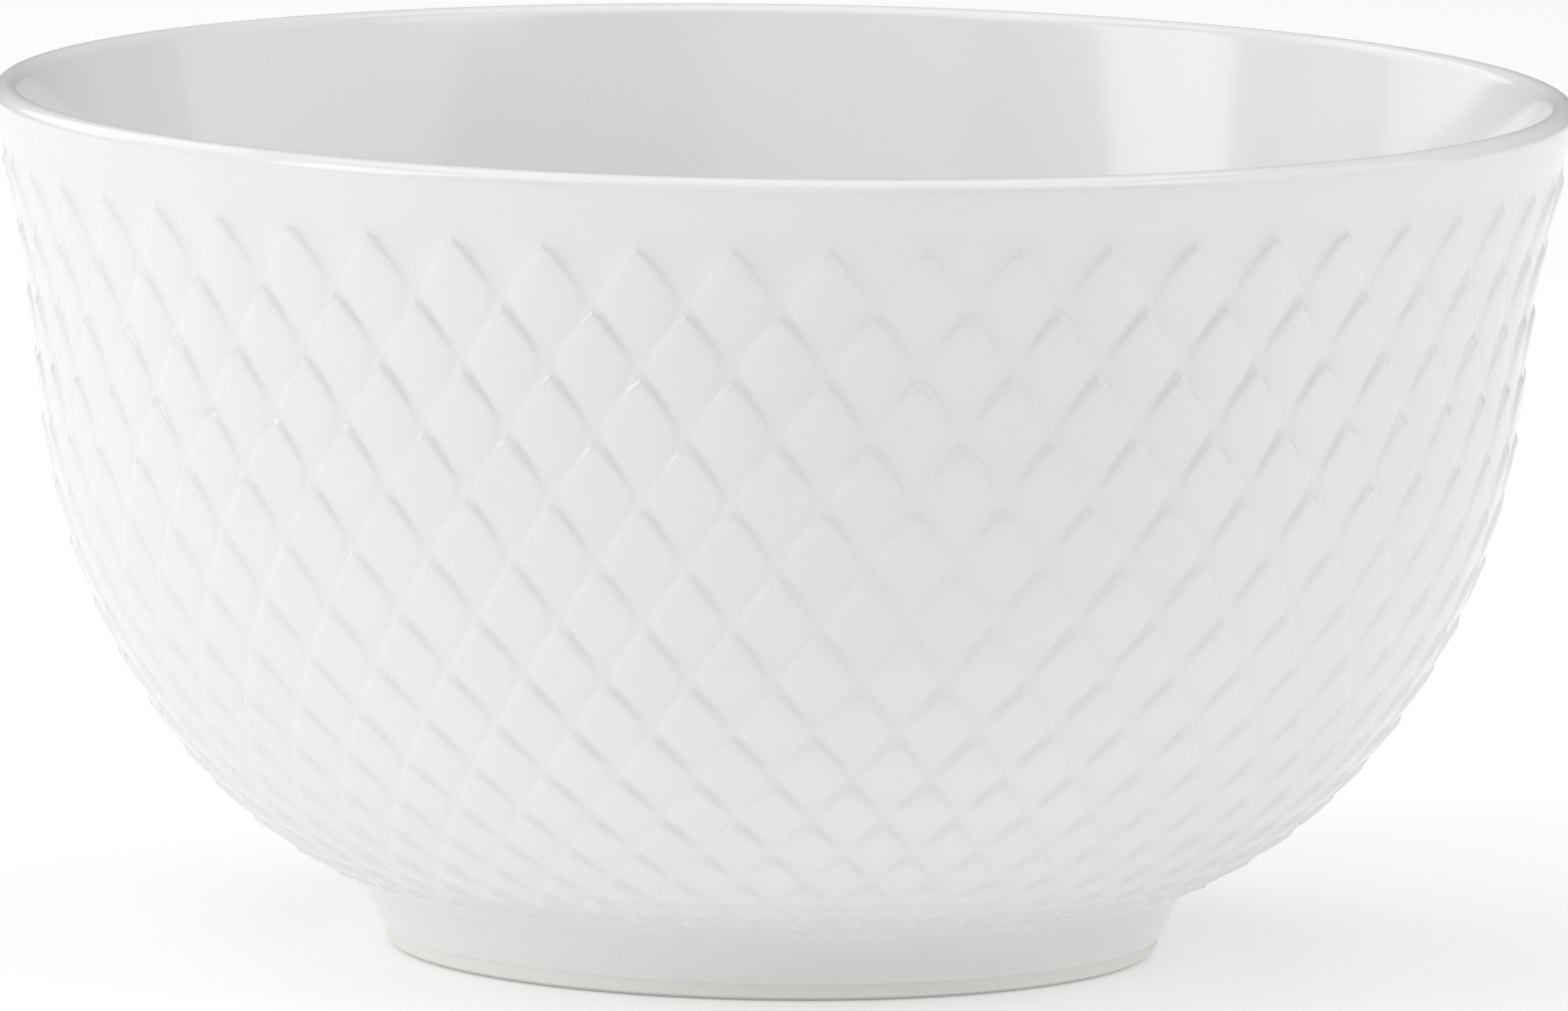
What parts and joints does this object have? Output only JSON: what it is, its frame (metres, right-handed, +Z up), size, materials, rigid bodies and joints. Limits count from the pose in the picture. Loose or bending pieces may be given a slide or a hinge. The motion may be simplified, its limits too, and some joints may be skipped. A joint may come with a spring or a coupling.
{
  "type": "shaving bowl",
  "caption": "Round white porcelain bowl for working up shaving lather, with a gently flared lip, a moulded diamond lattice round the outside and a low tapered foot ring.",
  "frame": {"origin": "on the table, at the centre of the foot ring", "axes": "+Z up along the bowl's axis; the bowl is round, so +X and +Y are any two directions square to it"},
  "size_m": [0.12, 0.12, 0.0655],
  "materials": {
    "porcelain": "fired hard-paste porcelain, bare and matt where it shows",
    "glaze": "glossy white glaze"
  },
  "bodies": {
    "root": {"cup": "porcelain", "foot_ring": "porcelain", "glaze_coat": "glaze", "base_glaze": "glaze"}
  },
  "joints": []
}
